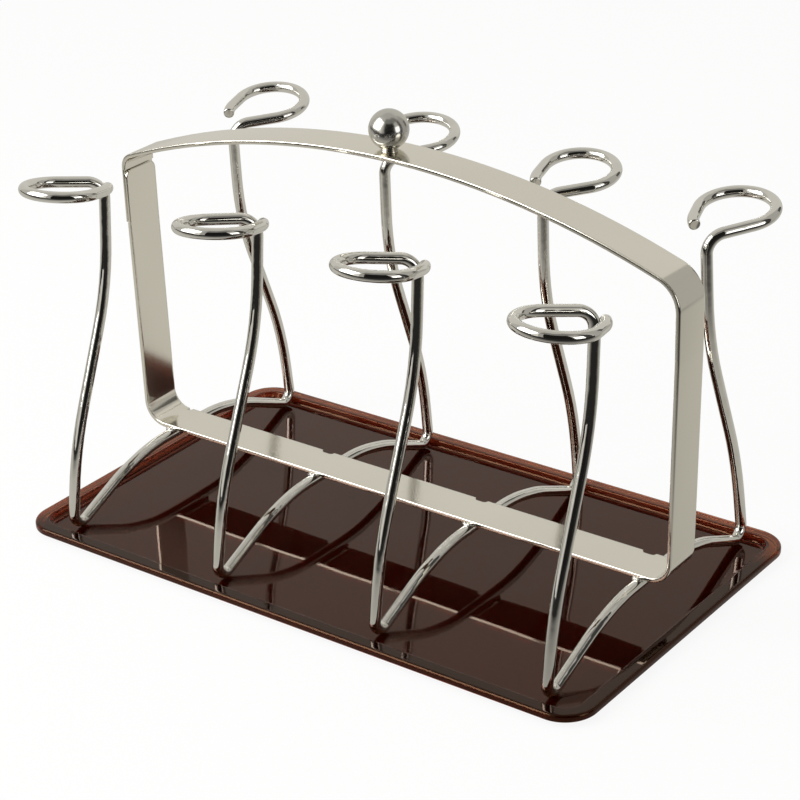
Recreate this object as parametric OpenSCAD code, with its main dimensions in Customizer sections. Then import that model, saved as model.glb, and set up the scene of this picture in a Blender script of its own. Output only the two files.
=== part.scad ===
// Mug drying rack.  A flat metal strip is bent into a closed frame whose top is
// the carrying handle.  Four round wires are welded under the frame's bar; each
// runs from hook to hook and stands on two feet.  The rack stands loose on a
// shallow plastic drip tray.
//
// Units are millimetres, +Z is up, +X runs along the frame and +Y is the back.
// The origin is the middle of the tray's underside.

/* [Strip frame] */
// Width of the flat strip
strip_w = 19.5; // [16:0.5:24]
// Thickness of the strip
strip_t = 2; // [1.6:0.1:2.4]
// Width over the uprights
frame_span = 291; // [280:1:310]
// Height of the bar's underside above the feet
bar_under = 22.5; // [20:0.5:26]
// How far each upright leans in at the bar
upright_lean = 2; // [1:0.5:4]
// Height of the slight bend where the uprights turn vertical
kink_z = 123.5; // [112:0.5:124]
// Height of the corners where the uprights would meet the arch
shoulder_z = 155; // [155:0.5:160]
// Slope of the arch at its ends, in degrees
arch_slope = 20; // [14:1:24]
// Bend radius of the bottom corners
bottom_r = 10; // [6:0.5:16]
// Bend radius of the right top corner
shoulder_r = 14; // [8:0.5:15]
// Bend radius of the slight bends in the uprights
kink_r = 40; // [20:5:80]

/* [Lap joint] */
// Length of the lap on the left upright
lap_len = 25.5; // [16:0.5:25.5]
// Bend radius of the top corner above the lap
lap_shoulder_r = 7; // [5:0.5:7.5]
// Thickness of the outer tongue
lap_outer_t = 1.2; // [0.9:0.1:1.4]
// How far the outer tongue stands proud of the upright below it
lap_step = 0.8; // [0.5:0.1:1]
// Joint gap, filled only at the spot welds
lap_gap = 0.2; // [0.1:0.05:0.3]
// Radius of the inner tongue's corners
lap_corner_r = 4; // [2:0.5:6]
// Diameter of a spot weld
spot_d = 4; // [3:0.5:6]

/* [Wires] */
// Diameter of the wire
wire_d = 5; // [4:0.25:6]
// Distance from one wire to the next
wire_pitch = 85.5; // [75:0.5:90]
// Half the level run under the bar
crest_half = 24.5; // [18:0.5:26]
// Distance out to the knee, where the base strand drops towards the foot
knee_reach = 44.5; // [42:0.5:52]
// Height of the knee
knee_z = 14.5; // [12:0.5:16]
// Distance out to where a foot touches the tray
foot_reach = 73; // [68:0.5:75]
// Bend radius of a foot
foot_r = 5.5; // [4.5:0.5:6.5]
// Distance out to the bend at the bottom of a post
shin_reach = 76; // [75:0.5:80]
// Height of that bend
shin_z = 40; // [35:1:55]
// Sideways set of that bend
shin_side = 2; // [0:0.5:4]
// Distance out to the bend half way up a post
waist_reach = 46; // [44:0.5:54]
// Height of that bend
waist_z = 110; // [90:1:115]
// Distance out to the top of a post
neck_reach = 43; // [40:0.5:47]
// Bend radius at the top of a post
neck_r = 8; // [6:0.5:10]
// Bend radius of the long bends in the posts
post_r = 120; // [80:10:140]
// Bend radius of the base strand
crest_r = 80; // [60:5:100]

/* [Hooks] */
// Radius of a hook's loop
loop_r = 16; // [14:0.5:18]
// Distance out to the middle of the loop
loop_reach = 69; // [68:0.5:75]
// Height of the middle of the loop
loop_z = 161; // [155:0.5:170]
// Sideways set of the loop from its post
loop_side = -1; // [-4:0.5:2]
// Upward slope of the loop away from the frame, in degrees
loop_slope = 9; // [0:0.5:12]
// Sideways slope of the loop, in degrees
loop_roll = 2; // [0:0.5:6]
// How far round the loop the wire is bent, in degrees
loop_turn = 233; // [210:1:240]
// Straight length after the loop
tail_run = 11.5; // [6:0.5:13]
// Length of the turned-in tip
tip_run = 4; // [3:0.5:6]
// How far the tip turns in, in degrees
tip_turn = 28; // [10:1:40]
// Depth of the broken edge on the cut end
end_break = 0.6; // [0.2:0.1:1]

/* [Knob] */
// Diameter of the ball
ball_d = 17.2; // [14:0.2:20]
// Diameter of the ball's foot
ball_foot_d = 7.5; // [6.5:0.5:9]
// Height of the foot, up to where it meets the ball
ball_foot_h = 0.7; // [0.4:0.1:3]
// Thread diameter of the screw
screw_d = 4; // [3:0.5:5]
// Diameter of the screw's head
screw_head_d = 8; // [7:0.5:10]
// Height of the screw's head
screw_head_h = 2.4; // [2:0.2:3.2]
// How far the screw reaches into the ball
screw_grip = 9; // [5:0.5:11]
// Width across the hexagon socket
socket_af = 2.5; // [2:0.5:3]

/* [Welds] */
// Radius of a weld bead at the bar's edge
bead_r = 2.2; // [1.5:0.1:3]
// Length of the notch melted into the bar's back edge beside a wire
notch_len = 6.5; // [4:0.5:8]
// Depth of the notch
notch_depth = 1.8; // [1:0.1:2.4]

/* [Drip tray] */
// Length of the tray
tray_l = 300; // [298:1:330]
// Width of the tray
tray_w = 177; // [175:1:200]
// Radius of the tray's corners
tray_corner_r = 15; // [13:0.5:24]
// Thickness of the tray's floor
floor_t = 2; // [1.5:0.1:3]
// Depth of the tray
tray_depth = 3.2; // [2.5:0.1:3.4]
// Width of the flat flange
flange_w = 6.5; // [5:0.5:7]
// Width that the sloping wall takes up
wall_run = 3; // [2:0.5:4]
// Thickness of the flange and wall
shell_t = 1.8; // [1.4:0.1:2.2]
// Height of the turned-down lip, from the flange's top
lip_h = 3.2; // [2.4:0.1:4]
// Radius on the tray's edges
edge_r = 0.8; // [0.4:0.1:1]
// How far the rack stands towards the tray's back
rack_back = 1.5; // [0:0.5:1.5]
// How far the rack stands towards the tray's right end
rack_side = 0.5; // [0:0.5:2]

/* [Hidden] */

$fn = 48;

// How far each half of a wire stands out of true, the front half first: the
// top's lean along X and Y in millimetres, then the hook's pitch, roll and swivel
// in degrees.  A back half is laid out as a front one and then turned half round.
WIRE_SET = [
    [[1.5, 2.5, -1, 0.5, 1], [-2, -3, 0.5, -1.5, -2]],
    [[1.5, 4.5, -1.5, -2, 1.5], [-4, -3.5, 0.5, -1, 1]],
    [[-0.5, 4, -2, 0.5, -1.5], [-3.5, -2, 1.5, -1, -1.5]],
    [[1, -2, 0.5, 3.5, 0.5], [0, 3, 1.5, 2.5, 3.5]],
];
WIRE_COUNT = len(WIRE_SET);

// Running clearances: the feet above the tray's floor, welded pieces, and the
// screw in its thread
STAND_GAP = 0.3;
WELD_GAP = 0.04;
THREAD_GAP = 0.05;
SCREW_PLAY = 0.4;
STUB = 1;

// Sides of a wire, an even number, and how far the flats round a bend may cut
// inside the true curve
WIRE_SIDES = 12;
WIRE_SAG = 0.12;
STRIP_SAG = 0.05;

wire_r = wire_d / 2;
// The flats of a wire's sides stand in for its round skin at equal section
flats_r = wire_r * sqrt(2 * PI / (WIRE_SIDES * sin(360 / WIRE_SIDES)));
feet_z = floor_t + STAND_GAP;
crest_z = bar_under - WELD_GAP - flats_r;
bar_mid_z = bar_under + strip_t / 2;
upright_x = frame_span / 2 - strip_t / 2;
tray_top = floor_t + tray_depth;

// ---------------------------------------------------------------- bent runs

function unit(v) = v / norm(v);

function angle_between(a, b) = atan2(norm(cross(a, b)), a * b);

// Direction of each straight between the corner points of a run
function headings(p) = [for (i = [0 : len(p) - 2]) unit(p[i + 1] - p[i])];

// Stations [point, heading] round the bend at one corner, which turns from
// heading h0 to h1 with radius r; the flats between them sag by no more than sag
function bend_stations(corner, h0, h1, r, sag) =
    let (
        bend = angle_between(h0, h1),
        inward = unit(h1 - (h1 * h0) * h0),
        start = corner - r * tan(bend / 2) * h0,
        steps = max(1, ceil(bend / (2 * acos(1 - sag / r)))))
    [for (k = [0 : steps])
        let (a = bend * k / steps)
        [start + r * ((1 - cos(a)) * inward + sin(a) * h0), cos(a) * h0 + sin(a) * inward]];

// Stations along a whole run with corner points p and bend radii r
function run_stations(p, r, sag) =
    let (h = headings(p), last = len(p) - 1)
    concat(
        [[p[0], h[0]]],
        [for (i = [1 : last - 1], s = bend_stations(p[i], h[i - 1], h[i], r[i], sag)) s],
        [[p[last], h[last - 1]]]);

// Carries the sideways direction x along to the next heading without a twist
function carried(x, heading) = unit(x - (x * heading) * heading);

// One ring of points round each station, starting from direction x0
function rings(stations, radii, x0) =
    [for (i = 0, x = carried(x0, stations[0][1]);
            i < len(stations);
            i = i + 1, x = i < len(stations) ? carried(x, stations[i][1]) : x)
        let (y = cross(stations[i][1], x))
        [for (k = [0 : WIRE_SIDES - 1])
            let (a = 360 * k / WIRE_SIDES)
            stations[i][0] + radii[i] * (cos(a) * x + sin(a) * y)]];

// Round bar through a list of rings
module round_bar(ring_list) {
    n = WIRE_SIDES;
    last = len(ring_list) - 1;
    polyhedron(
        points = [for (ring = ring_list, q = ring) q],
        faces = concat(
            [[for (k = [0 : n - 1]) k]],
            [for (i = [0 : last - 1], k = [0 : n - 1])
                let (a = i * n + k, b = i * n + (k + 1) % n)
                [a, a + n, b + n, b]],
            [[for (k = [n - 1 : -1 : 0]) last * n + k]]),
        convexity = 10);
}

// ------------------------------------------------------------------- places

// Everything on the rack is laid out from the feet, midway between them
module on_rack() {
    translate([rack_side, rack_back, feet_z]) children();
}

function wire_x(i) = (i - (WIRE_COUNT - 1) / 2) * wire_pitch;

// --------------------------------------------------------------- hook wires

// Corner of the two straights that touch a foot's bend, seen from the side as
// [out, up]; the bend's lowest point touches the tray
function foot_corner() =
    let (
        c = [foot_reach, wire_r + foot_r],
        to_c = c - [knee_reach, knee_z],
        from_c = c - [shin_reach, shin_z],
        down = atan2(to_c[1], to_c[0]) - asin(foot_r / norm(to_c)),
        up = atan2(from_c[1], from_c[0]) + 180 + asin(foot_r / norm(from_c)),
        half = (up - down) / 2,
        out = (up + down) / 2 - 90)
    c + foot_r / cos(half) * [cos(out), sin(out)];

// Corners of the loop in its own plane, from the top of the post round to the
// tip; the circle is bent as three equal bends
function loop_corners() =
    let (
        neck = [-loop_side, loop_reach - neck_reach],
        start = atan2(neck[1], neck[0]) + acos(loop_r / norm(neck)),
        step = loop_turn / 3,
        finish = start + loop_turn,
        off = loop_r * [cos(finish), sin(finish)],
        tail = off + tail_run * [-sin(finish), cos(finish)],
        tip = tail + tip_run * [-sin(finish + tip_turn), cos(finish + tip_turn)])
    concat([neck],
        [for (k = [0 : 2])
            loop_r / cos(step / 2) * [cos(start + (k + 0.5) * step), sin(start + (k + 0.5) * step)]],
        [tail, tip]);

function pitched(v, a) = [v[0], v[1] * cos(a) - v[2] * sin(a), v[1] * sin(a) + v[2] * cos(a)];
function rolled(v, a) = [v[0] * cos(a) + v[2] * sin(a), v[1], v[2] * cos(a) - v[0] * sin(a)];
function swivelled(v, a) = [v[0] * cos(a) - v[1] * sin(a), v[0] * sin(a) + v[1] * cos(a), v[2]];

// A loop corner as a point of the half wire.  The set's angles turn the hook
// about the top of its post.
function hook_point(q, set) =
    let (
        slope = -loop_slope,
        flat = rolled(pitched([q[0], q[1], 0], slope), -loop_roll),
        neck = rolled(pitched([-loop_side, loop_reach - neck_reach, 0], slope), -loop_roll),
        turned = swivelled(rolled(pitched(flat - neck, set[2]), set[3]), set[4]))
    turned + neck + [loop_side, -loop_reach, loop_z];

// Corner points of half a wire, laid out as a front half, from under the bar to
// the tip
function half_wire(set) =
    let (
        lean = [set[0], set[1], 0],
        foot = foot_corner(),
        hook = [for (q = loop_corners()) hook_point(q, set) + lean])
    concat(
        [[0, 0, crest_z], [0, -crest_half, crest_z], [0, -knee_reach, knee_z],
            [0, -foot[0], foot[1]],
            [shin_side, -shin_reach, shin_z] + lean * shin_z / loop_z,
            [0, -waist_reach, waist_z] + lean * waist_z / loop_z],
        hook);

HALF_WIRE_R = [0, crest_r, crest_r, foot_r, post_r, post_r, neck_r,
    loop_r, loop_r, loop_r, loop_r, 0];

// Rings along half a wire, from under the bar to the tip; a last short ring
// breaks the cut edge
function half_rings(set) =
    let (
        run = run_stations(half_wire(set), HALF_WIRE_R, WIRE_SAG),
        end = run[len(run) - 1],
        tip = [end[0] + end_break * end[1], end[1]])
    rings(concat(run, [tip]),
        [for (k = [0 : len(run)]) flats_r - (k == len(run) ? end_break : 0)], [1, 0, 0]);

// A front ring turned round to the back; its points run the other way, so that
// they follow on from the front ones
function turned_round(ring) =
    [for (k = [0 : WIRE_SIDES - 1])
        let (q = ring[(3 * WIRE_SIDES / 2 - k) % WIRE_SIDES])
        [-q[0], -q[1], q[2]]];

// One wire: a front half and a back half, joined under the bar
module hook_wire(i) {
    front = half_rings(WIRE_SET[i][0]);
    back = half_rings(WIRE_SET[i][1]);
    color("gainsboro")
        on_rack()
            translate([wire_x(i), 0, 0])
                round_bar(concat(
                    [for (k = [len(back) - 1 : -1 : 1]) turned_round(back[k])],
                    [for (k = [1 : len(front) - 1]) front[k]]));
}

// -------------------------------------------------------------- strip frame

lower_x = upright_x - lap_step;
base_x = upright_x - upright_lean;
tongue_len = lap_len + lap_gap;
arch_r = (upright_x / cos(arch_slope) - shoulder_r * tan(45 - arch_slope / 2) - STUB)
    / tan(arch_slope);
arch_peak = shoulder_z + upright_x * tan(arch_slope) - arch_r * (1 / cos(arch_slope) - 1);
arch_top = arch_peak + strip_t / 2;

// Corner points of the strip's middle surface, clockwise from the top of the
// outer tongue round to the foot of the inner one
STRIP_POINTS = [
    [-upright_x, 0, kink_z + tongue_len],
    [-upright_x, 0, shoulder_z],
    [0, 0, shoulder_z + upright_x * tan(arch_slope)],
    [upright_x, 0, shoulder_z],
    [upright_x, 0, kink_z],
    [base_x, 0, bar_mid_z],
    [-base_x, 0, bar_mid_z],
    [-lower_x, 0, kink_z - STUB],
    [-lower_x, 0, kink_z],
];
STRIP_R = [0, lap_shoulder_r, arch_r, shoulder_r, kink_r, bottom_r, bottom_r, kink_r, 0];

// Side of the strip at a distance out from its middle surface
function strip_side(out) =
    [for (s = run_stations(STRIP_POINTS, STRIP_R, STRIP_SAG))
        [s[0][0] - out * s[1][2], s[0][2] + out * s[1][0]]];

function backwards(list) = [for (i = [len(list) - 1 : -1 : 0]) list[i]];

// Front view of the strip: its outer side, the inner tongue, its inner side,
// and the outer tongue
function strip_outline() =
    let (
        outer_x = -upright_x - strip_t / 2,
        slot_x = outer_x + lap_outer_t,
        inner_x = -lower_x + strip_t / 2)
    concat(
        [[outer_x, kink_z + lap_gap]],
        strip_side(strip_t / 2),
        [[slot_x + lap_gap, kink_z], [slot_x + lap_gap, kink_z + lap_len], [inner_x, kink_z + lap_len]],
        backwards(strip_side(-strip_t / 2)),
        [[slot_x, kink_z + tongue_len], [slot_x, kink_z + lap_gap]]);

// What is taken off the inner tongue's two upper corners
module tongue_corner_cuts() {
    gap_x = -upright_x - strip_t / 2 + lap_outer_t + lap_gap / 2;
    r = lap_corner_r;
    for (turn = [0, 180])
        translate([gap_x + strip_t, 0, kink_z + lap_len - r])
            rotate([0, 0, turn])
                translate([0, strip_w / 2 - r, 0])
                    difference() {
                        translate([-strip_t, 0, 0])
                            cube([2 * strip_t, r + STUB, r + lap_gap / 2]);
                        rotate([0, 90, 0])
                            cylinder(h = 2 * strip_t + STUB, r = r, center = true);
                    }
}

// Slot with round ends melted into the bar's back edge beside a wire
module weld_notch() {
    r = notch_depth;
    for (x = [-wire_r - r, -wire_r - notch_len + r])
        translate([x, strip_w / 2, bar_mid_z])
            cylinder(h = 2 * strip_t, r = r, center = true);
    translate([-wire_r - notch_len + r, strip_w / 2 - r, bar_mid_z - strip_t])
        cube([notch_len - 2 * r, 2 * r, 2 * strip_t]);
}

module frame_strip() {
    color("silver")
        on_rack()
            difference() {
                rotate([90, 0, 0])
                    linear_extrude(height = strip_w, center = true)
                        polygon(strip_outline());
                tongue_corner_cuts();
                for (i = [0 : WIRE_COUNT - 1])
                    translate([wire_x(i), 0, 0]) weld_notch();
                translate([0, 0, arch_peak])
                    cylinder(h = 4 * strip_t, d = screw_d + SCREW_PLAY, center = true);
            }
}

// Spot welds through the lap, one above the other
module lap_welds() {
    gap_x = -upright_x - strip_t / 2 + lap_outer_t + lap_gap / 2;
    color("darkgray")
        on_rack()
            for (k = [1, 3])
                translate([gap_x, 0, kink_z + k * lap_len / 4])
                    rotate([0, 90, 0])
                        cylinder(h = lap_gap - WELD_GAP, d = spot_d, center = true);
}

// --------------------------------------------------------------- wire welds

// Bead at the bar's edge, where it crosses a wire; side is -1 at the front
module weld_bead(side) {
    edge_y = side * strip_w / 2;
    difference() {
        translate([0, edge_y, bar_under]) sphere(r = bead_r);
        translate([-2 * bead_r, -strip_w / 2 - WELD_GAP, bar_under - WELD_GAP])
            cube([4 * bead_r, strip_w + 2 * WELD_GAP, strip_t + 2 * WELD_GAP]);
        translate([0, 0, crest_z])
            rotate([90, 0, 0])
                cylinder(h = 2 * strip_w, r = flats_r + WELD_GAP, center = true);
    }
}

module wire_welds() {
    color("lightgray")
        on_rack()
            for (i = [0 : WIRE_COUNT - 1], side = [-1, 1])
                translate([wire_x(i), 0, 0]) weld_bead(side);
}

// --------------------------------------------------------------------- knob

// The foot is turned from the ball, and its end faced off to sit on the arch
module knob_ball() {
    lift = ball_foot_h + sqrt(pow(ball_d / 2, 2) - pow(ball_foot_d / 2, 2));
    color("gainsboro")
        on_rack()
            translate([0, 0, arch_top + WELD_GAP])
                difference() {
                    union() {
                        translate([0, 0, lift]) sphere(d = ball_d, $fn = 96);
                        cylinder(h = lift, d = ball_foot_d);
                    }
                    translate([0, 0, -ball_d])
                        cylinder(h = ball_d, d = 2 * ball_d);
                    translate([0, 0, -STUB])
                        cylinder(h = screw_grip + 2 * STUB, d = screw_d + 2 * THREAD_GAP);
                }
}

module knob_screw() {
    under = arch_peak - strip_t / 2 - WELD_GAP;
    color("gray")
        on_rack()
            difference() {
                union() {
                    translate([0, 0, under - screw_head_h])
                        cylinder(h = screw_head_h, d1 = screw_head_d * 0.8, d2 = screw_head_d);
                    translate([0, 0, under - STUB])
                        cylinder(h = STUB + strip_t + screw_grip, d = screw_d);
                }
                translate([0, 0, under - screw_head_h - STUB])
                    cylinder(h = STUB + screw_head_h * 0.7, d = socket_af / cos(30), $fn = 6);
            }
}

// ---------------------------------------------------------------- drip tray

// Points of an arc from angle a0 to a1
function arc(c, r, a0, a1, steps = 5) =
    [for (k = [0 : steps]) c + r * [cos(a0 + (a1 - a0) * k / steps), sin(a0 + (a1 - a0) * k / steps)]];

wall_angle = atan2(tray_depth, wall_run);
cove_r = 2 * edge_r;

// Section of the tray's rim and the floor beside it, as [out, up] from the
// middle of a corner's radius
function rim_section() =
    let (
        flange_edge = tray_corner_r - flange_w,
        foot = flange_edge - wall_run,
        inset = tan(wall_angle / 2),
        drop = shell_t * inset)
    concat(
        [[0, 0], [0, floor_t]],
        arc([foot - cove_r * inset, floor_t + cove_r], cove_r, 270, 270 + wall_angle),
        arc([flange_edge + edge_r * inset, tray_top - edge_r], edge_r, 90 + wall_angle, 90),
        arc([tray_corner_r - edge_r, tray_top - edge_r], edge_r, 90, 0),
        [[tray_corner_r, tray_top - lip_h],
            [tray_corner_r - shell_t, tray_top - lip_h],
            [tray_corner_r - shell_t, tray_top - shell_t],
            [flange_edge + drop, tray_top - shell_t],
            [foot + drop + (floor_t - shell_t) / tan(wall_angle), 0]]);

// Rim along one side: a straight stretch and the corner that follows it
module rim_side(length, across) {
    straight = length - 2 * tray_corner_r;
    translate([across / 2 - tray_corner_r, 0, 0]) {
        translate([0, straight / 2, 0])
            rotate([90, 0, 0])
                linear_extrude(height = straight)
                    polygon(rim_section());
        translate([0, straight / 2, 0])
            rotate_extrude(angle = 90, $fn = 96)
                polygon(rim_section());
    }
}

module drip_tray() {
    floor_l = tray_l - 2 * tray_corner_r;
    floor_w = tray_w - 2 * tray_corner_r;
    color("saddlebrown")
        union() {
            for (turn = [0, 180]) {
                rotate([0, 0, turn]) rim_side(tray_w, tray_l);
                rotate([0, 0, turn + 90]) rim_side(tray_l, tray_w);
            }
            translate([-floor_l / 2, -floor_w / 2, 0])
                cube([floor_l, floor_w, floor_t]);
        }
}

drip_tray();
hook_wire(0);  // hook_wire_1
hook_wire(1);  // hook_wire_2
hook_wire(2);  // hook_wire_3
hook_wire(3);  // hook_wire_4
frame_strip();
knob_ball();
knob_screw();
wire_welds();
lap_welds();
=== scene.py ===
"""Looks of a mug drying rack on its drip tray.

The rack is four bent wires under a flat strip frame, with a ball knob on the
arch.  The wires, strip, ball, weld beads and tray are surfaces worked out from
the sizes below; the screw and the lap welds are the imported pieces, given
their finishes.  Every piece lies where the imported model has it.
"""
import math

import bpy
import numpy as np
from bpy.props import FloatProperty, FloatVectorProperty, IntProperty, PointerProperty
from mathutils import Matrix, Vector


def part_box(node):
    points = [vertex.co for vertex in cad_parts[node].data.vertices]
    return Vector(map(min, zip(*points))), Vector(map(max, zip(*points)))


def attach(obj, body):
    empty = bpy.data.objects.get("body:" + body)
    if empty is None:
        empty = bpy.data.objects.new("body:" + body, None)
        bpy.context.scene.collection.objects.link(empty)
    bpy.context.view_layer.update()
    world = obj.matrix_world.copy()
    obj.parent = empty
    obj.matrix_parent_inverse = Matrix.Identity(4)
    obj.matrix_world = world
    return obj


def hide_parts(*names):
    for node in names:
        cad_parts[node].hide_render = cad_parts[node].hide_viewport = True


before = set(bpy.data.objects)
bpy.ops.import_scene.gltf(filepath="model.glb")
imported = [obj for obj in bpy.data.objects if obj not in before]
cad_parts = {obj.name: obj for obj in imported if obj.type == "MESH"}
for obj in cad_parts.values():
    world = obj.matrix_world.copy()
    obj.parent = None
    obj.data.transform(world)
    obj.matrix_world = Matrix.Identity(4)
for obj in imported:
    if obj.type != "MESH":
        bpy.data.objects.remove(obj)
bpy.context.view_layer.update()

bl_info = {
    "name": "Mug drying rack",
    "version": (1, 0, 0),
    "blender": (4, 5, 0),
    "location": "3D View > Sidebar > Mug rack",
    "description": "Bent-wire mug rack with a flat strip frame, a ball knob and a drip tray",
    "category": "Add Mesh",
}

MM = 0.001
FRONT, BACK = 0, 1

# How far each half of a wire stands out of true, the front half first: the top's
# lean along X and Y in millimetres, then the hook's pitch, roll and swivel in
# degrees.  A back half is laid out as a front one and then turned half round.
WIRE_SETS = (
    ((1.5, 2.5, -1.0, 0.5, 1.0), (-2.0, -3.0, 0.5, -1.5, -2.0)),
    ((1.5, 4.5, -1.5, -2.0, 1.5), (-4.0, -3.5, 0.5, -1.0, 1.0)),
    ((-0.5, 4.0, -2.0, 0.5, -1.5), (-3.5, -2.0, 1.5, -1.0, -1.5)),
    ((1.0, -2.0, 0.5, 3.5, 0.5), (0.0, 3.0, 1.5, 2.5, 3.5)),
)

# Cards round the studio, which only the gloss shows: azimuths to the right from
# the front and elevations, in degrees, then the brightness and the distance from
# the studio's middle.
STUDIO_MIDDLE = (0, 0, 0.16)
STUDIO_CARDS = (
    ("card_half", (-18, -3), (-5, 50), 0.8, 1.6),
    ("card_edge", (-3, 10), (-5, 50), 0.4, 1.6),
    ("card_dark", (10, 74), (-5, 48), 0.012, 1.6),
    ("card_above", (-3, 122), (48, 75), 0.22, 1.6),
    ("card_flag", (102, 120), (-5, 48), 0.05, 1.6),
    ("card_right", (118, 160), (-14, 50), 0.43, 0.65),
    ("card_corner", (145, 158), (3, 24), 0.09, 0.62),
    ("card_back", (158, 268), (-5, 60), 0.65, 1.6),
)

# Lamps: place, width and height, power in watts, and whether the gloss shows
# them.  All are turned to one point in the rack.
LAMP_AIM = (0, 0, 0.19)
LAMPS = (
    ("lamp_left", (-0.72, -0.86, 0.86), (1.05, 1.08), 18, True),
    ("lamp_right", (1.2, -0.04, 0.38), (0.5, 0.6), 1.6, True),
    ("lamp_top", (-0.3, 0.5, 1.7), (1.2, 1.2), 5.0, False),
)


# ----------------------------------------------- properties

def mm_size(name, description, millimetres):
    """A length, given in millimetres."""
    return FloatProperty(
        name=name, description=description, default=millimetres * MM, unit="LENGTH")


def degrees(name, description, turn):
    """An angle, given in degrees."""
    return FloatProperty(
        name=name, description=description, default=math.radians(turn), subtype="ANGLE")


def rgb(name, description, value):
    """A colour."""
    return FloatVectorProperty(
        name=name, description=description, default=value, subtype="COLOR", size=3)


class StripSizes(bpy.types.PropertyGroup):
    """Sizes of the flat strip frame"""
    width: mm_size("Width", "Width of the flat strip", 19.5)
    thickness: mm_size("Thickness", "Thickness of the strip", 2)
    span: mm_size("Span", "Width over the uprights", 291)
    bar_under: mm_size("Bar height", "Height of the bar's underside above the feet", 22.5)
    lean: mm_size("Lean", "How far each upright leans in at the bar", 2)
    kink_z: mm_size("Kink height", "Height at which the uprights turn vertical", 123.5)
    shoulder_z: mm_size("Shoulder height", "Height at which the uprights would meet the arch", 155)
    arch_slope: degrees("Arch slope", "Slope of the arch at its ends", 20)
    bottom_r: mm_size("Bottom radius", "Bend radius of the bottom corners", 10)
    shoulder_r: mm_size("Shoulder radius", "Bend radius of the right top corner", 14)
    lap_shoulder_r: mm_size("Lap shoulder radius", "Bend radius of the top corner above the lap", 7)
    kink_r: mm_size("Kink radius", "Bend radius of the slight bends in the uprights", 40)
    edge_r: mm_size("Edge radius", "Rounding of the strip's edges", 0.45)
    lap_len: mm_size("Lap length", "Length of the lap on the left upright", 25.5)
    lap_outer_t: mm_size("Outer tongue", "Thickness of the lap's outer tongue", 1.2)
    lap_step: mm_size("Lap step", "How far the outer tongue stands proud of the upright below", 0.8)
    lap_gap: mm_size("Lap gap", "Joint gap of the lap", 0.2)
    lap_corner_r: mm_size("Tongue corners", "Radius of the inner tongue's corners", 4)
    notch_len: mm_size("Notch length", "Length of the notch melted into the bar beside a wire", 6.5)
    notch_depth: mm_size("Notch depth", "Depth of that notch", 1.8)


class WireSizes(bpy.types.PropertyGroup):
    """Sizes of the bent wires, from the bar down to the feet and up to the hooks"""
    diameter: mm_size("Diameter", "Diameter of the wire", 5)
    pitch: mm_size("Pitch", "Distance from one wire to the next", 85.5)
    crest_half: mm_size("Crest", "Half the level run under the bar", 24.5)
    knee_reach: mm_size("Knee reach", "Distance out to where the base strand drops", 44.5)
    knee_z: mm_size("Knee height", "Height of the knee", 14.5)
    foot_reach: mm_size("Foot reach", "Distance out to where a foot touches the tray", 73)
    foot_r: mm_size("Foot radius", "Bend radius of a foot", 5.5)
    shin_reach: mm_size("Shin reach", "Distance out to the bend at the bottom of a post", 76)
    shin_z: mm_size("Shin height", "Height of that bend", 40)
    shin_side: mm_size("Shin side", "Sideways set of that bend", 2)
    waist_reach: mm_size("Waist reach", "Distance out to the bend half way up a post", 46)
    waist_z: mm_size("Waist height", "Height of that bend", 110)
    neck_reach: mm_size("Neck reach", "Distance out to the top of a post", 43)
    neck_r: mm_size("Neck radius", "Bend radius at the top of a post", 8)
    post_r: mm_size("Post bends", "Bend radius of the long bends in the posts", 120)
    crest_r: mm_size("Base bends", "Bend radius of the base strand", 80)
    sides: IntProperty(name="Sides", description="Points round the wire", default=32, min=8)
    step: degrees("Bend step", "Turn between rings round a bend", 4)


class HookSizes(bpy.types.PropertyGroup):
    """Sizes of the hooks that the wires end in"""
    loop_r: mm_size("Loop radius", "Radius of a hook's loop", 16)
    loop_reach: mm_size("Loop reach", "Distance out to the middle of the loop", 69)
    loop_z: mm_size("Loop height", "Height of the middle of the loop", 161)
    loop_side: mm_size("Loop side", "Sideways set of the loop from its post", -1)
    slope: degrees("Slope", "Upward slope of the loop away from the frame", 9)
    roll: degrees("Roll", "Sideways slope of the loop", 2)
    turn: degrees("Turn", "How far round the loop the wire is bent", 233)
    tail_run: mm_size("Tail", "Straight length after the loop", 11.5)
    tip_run: mm_size("Tip", "Length of the turned-in tip", 4)
    tip_turn: degrees("Tip turn", "How far the tip turns in", 28)
    end_break: mm_size("End rounding", "Rounding of the cut end", 0.6)


class KnobSizes(bpy.types.PropertyGroup):
    """Sizes of the ball knob"""
    ball_d: mm_size("Ball", "Diameter of the ball", 17.2)
    foot_d: mm_size("Foot", "Diameter of the ball's foot", 7.5)


class WeldSizes(bpy.types.PropertyGroup):
    """Sizes of the weld beads"""
    bead_r: mm_size("Bead", "Radius of a weld bead at the bar's edge", 2.1)
    lump: mm_size("Lumps", "Height of the bead's lumps", 0.22)


class TraySizes(bpy.types.PropertyGroup):
    """Sizes of the drip tray's rim"""
    corner_r: mm_size("Corner radius", "Radius of the tray's corners", 15)
    floor_t: mm_size("Floor", "Thickness of the tray's floor", 2)
    flange_w: mm_size("Flange", "Width of the flat flange", 6.5)
    wall_run: mm_size("Wall run", "Width that the steep wall takes up above its cove", 1.2)
    shell_t: mm_size("Shell", "Thickness of the flange and wall", 1.8)
    lip_h: mm_size("Lip", "Height of the turned-down lip", 3.2)
    edge_r: mm_size("Edge radius", "Radius on the tray's inner edges", 0.8)
    brow_r: mm_size("Brow radius", "Radius where the flange turns down to the lip", 1.2)


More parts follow.
